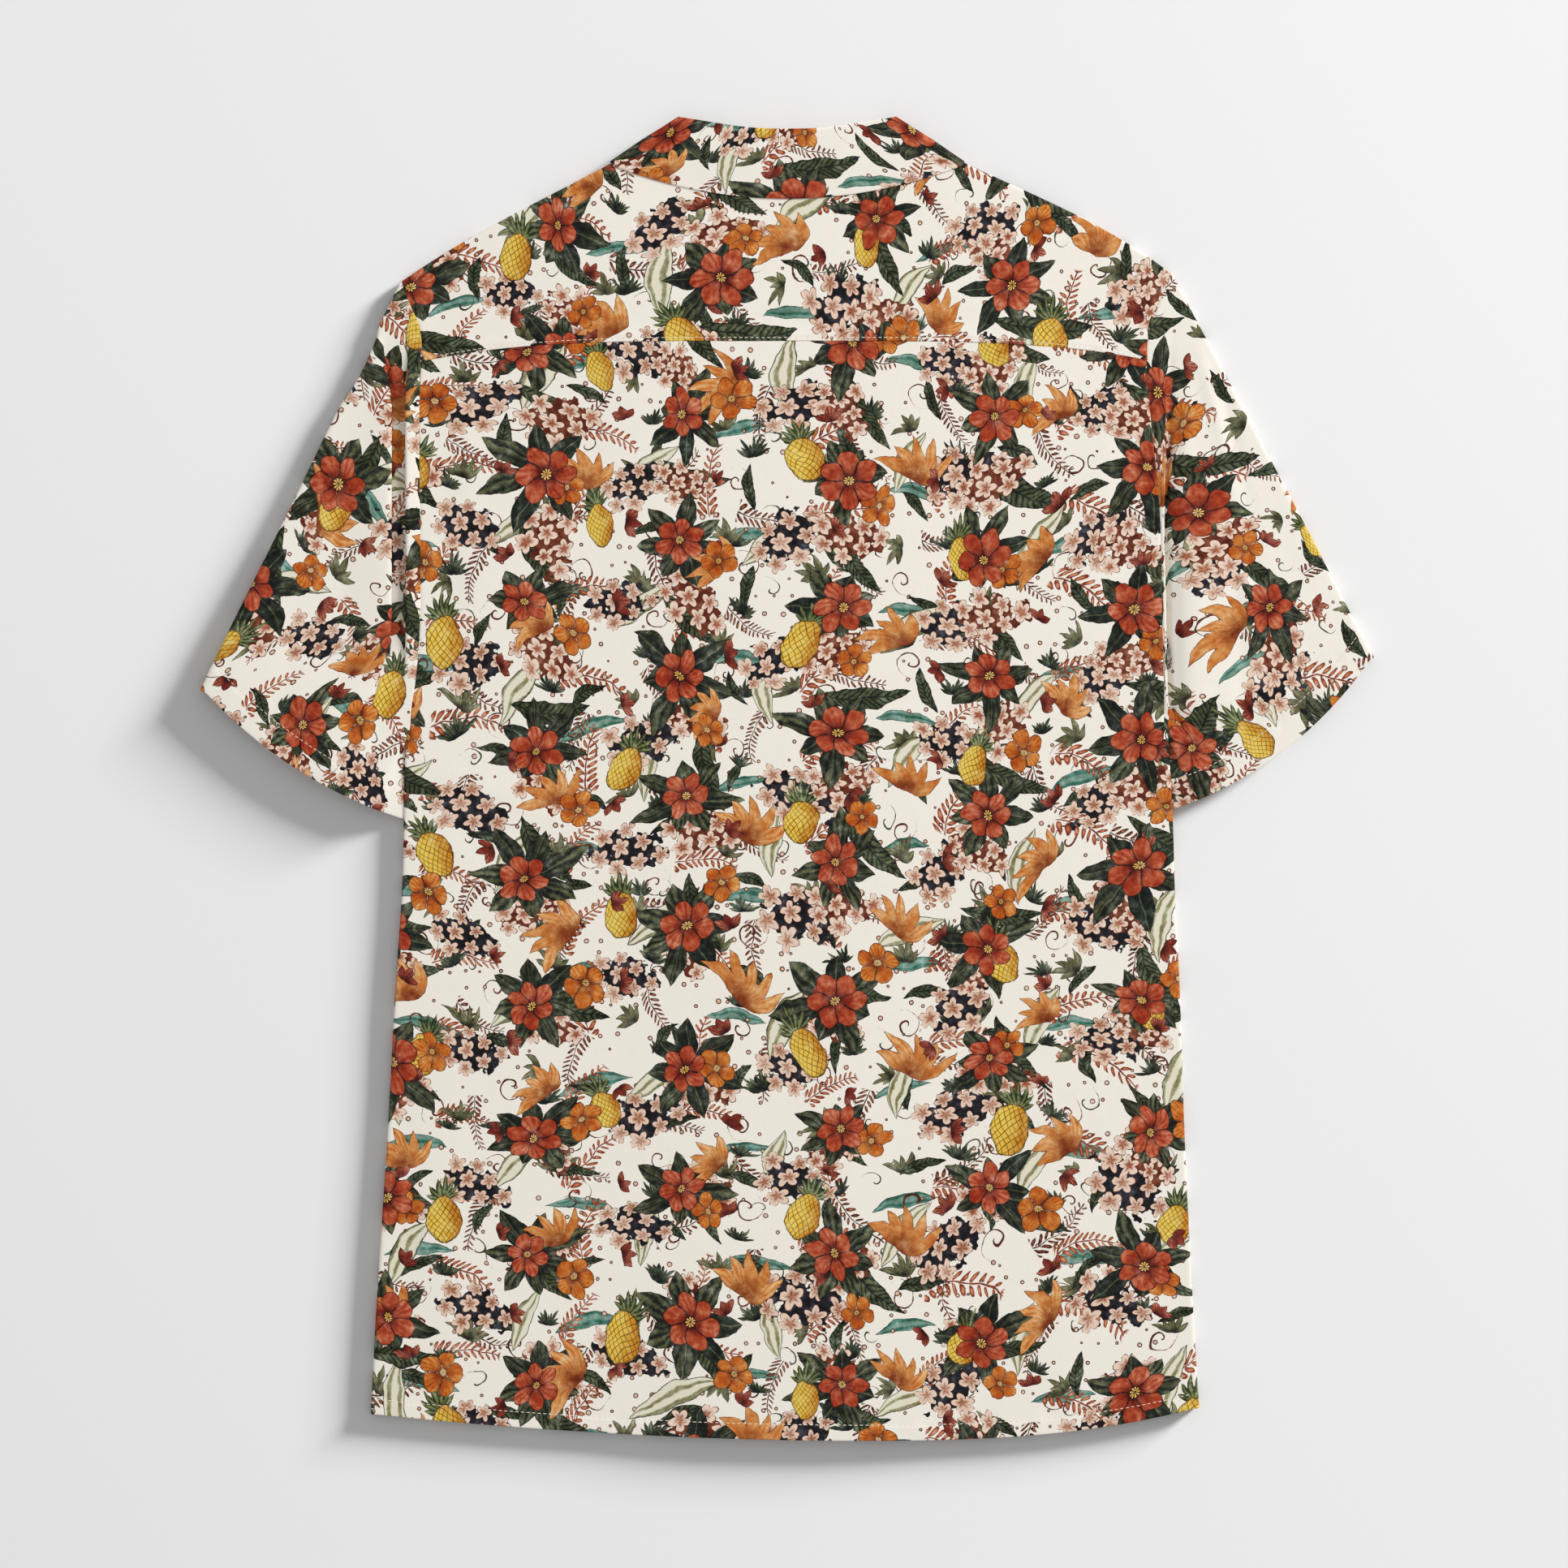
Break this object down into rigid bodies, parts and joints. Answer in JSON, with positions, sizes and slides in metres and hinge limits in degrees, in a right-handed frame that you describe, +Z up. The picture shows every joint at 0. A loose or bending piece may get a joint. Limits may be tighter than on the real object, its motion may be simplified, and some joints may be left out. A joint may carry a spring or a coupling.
{
  "type": "short-sleeved camp-collar bowling shirt, laid flat",
  "caption": "Short-sleeved camp-collar shirt in printed cotton, laid flat with its back up: back, yoke, fronts with revers, sleeves, folded collar and placket buttons.",
  "frame": {"origin": "middle of the shirt's box at the surface that it lies on", "axes": "+Y from the hem to the collar, +Z up out of the surface, towards the shirt's back, +X towards the wearer's right sleeve"},
  "size_m": [0.6853, 0.772, 0.0098],
  "materials": {
    "printed_cotton": "matt plain-weave cotton, cream, printed all over with flowers and leaves",
    "button_shell": "pale shell-coloured shirt buttons, softly polished"
  },
  "bodies": {
    "root": {"back": "printed_cotton", "yoke": "printed_cotton", "collar": "printed_cotton", "front_left": "printed_cotton", "front_right": "printed_cotton", "sleeve_left": "printed_cotton", "sleeve_right": "printed_cotton", "button_1": "button_shell", "button_2": "button_shell", "button_3": "button_shell", "button_4": "button_shell", "button_5": "button_shell"}
  },
  "joints": []
}
